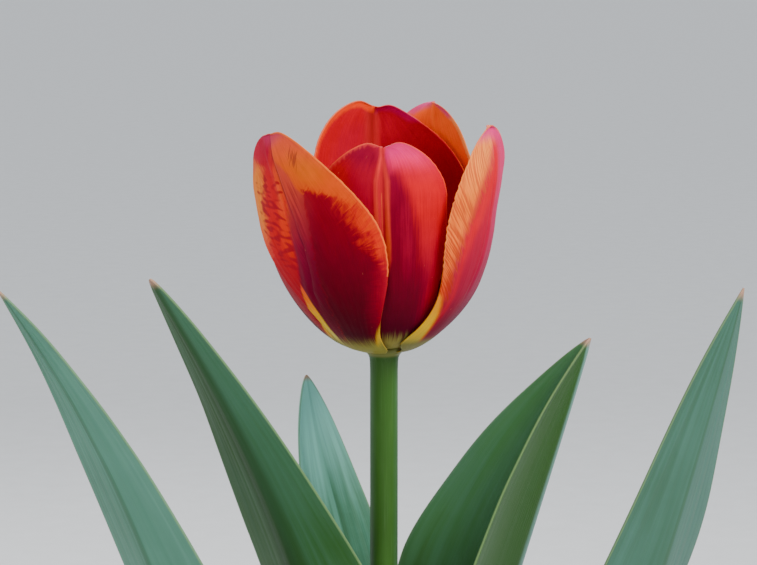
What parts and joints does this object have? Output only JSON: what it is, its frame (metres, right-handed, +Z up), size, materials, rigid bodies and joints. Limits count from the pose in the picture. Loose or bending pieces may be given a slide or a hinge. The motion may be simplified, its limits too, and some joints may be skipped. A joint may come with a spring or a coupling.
{
  "type": "potted tulip",
  "caption": "Open cup-shaped tulip bloom on an upright stem with long pointed leaves, growing in a plain round terracotta pot of soil.",
  "frame": {"origin": "centre of the pot's underside, on the surface the pot stands on", "axes": "+Z up along the stem; -Y towards the front petal; +X to the right as seen from the front"},
  "size_m": [0.1865, 0.13, 0.3562],
  "materials": {
    "pot": "matt unglazed terracotta",
    "soil": "dark crumbly peat-based potting compost",
    "bulb": "papery brown bulb skin",
    "stem": "smooth fleshy green stem with a waxy bloom",
    "leaf": "fleshy green leaf with fine parallel veins and a blue-grey waxy bloom",
    "petal": "satin petal, dark red flame over red with orange margins",
    "pistil": "smooth yellow-green",
    "stamens": "dark filaments with dusty dark anthers"
  },
  "bodies": {
    "root": {"pot": "pot", "soil": "soil", "bulb": "bulb", "stem": "stem", "leaf_front_left": "leaf", "leaf_right": "leaf", "leaf_back": "leaf", "leaf_far_left": "leaf", "leaf_far_right": "leaf", "petal_front_left": "petal", "petal_front": "petal", "petal_right": "petal", "petal_back_right": "petal", "petal_back": "petal", "petal_back_left": "petal", "pistil": "pistil", "stamens": "stamens"}
  },
  "joints": []
}
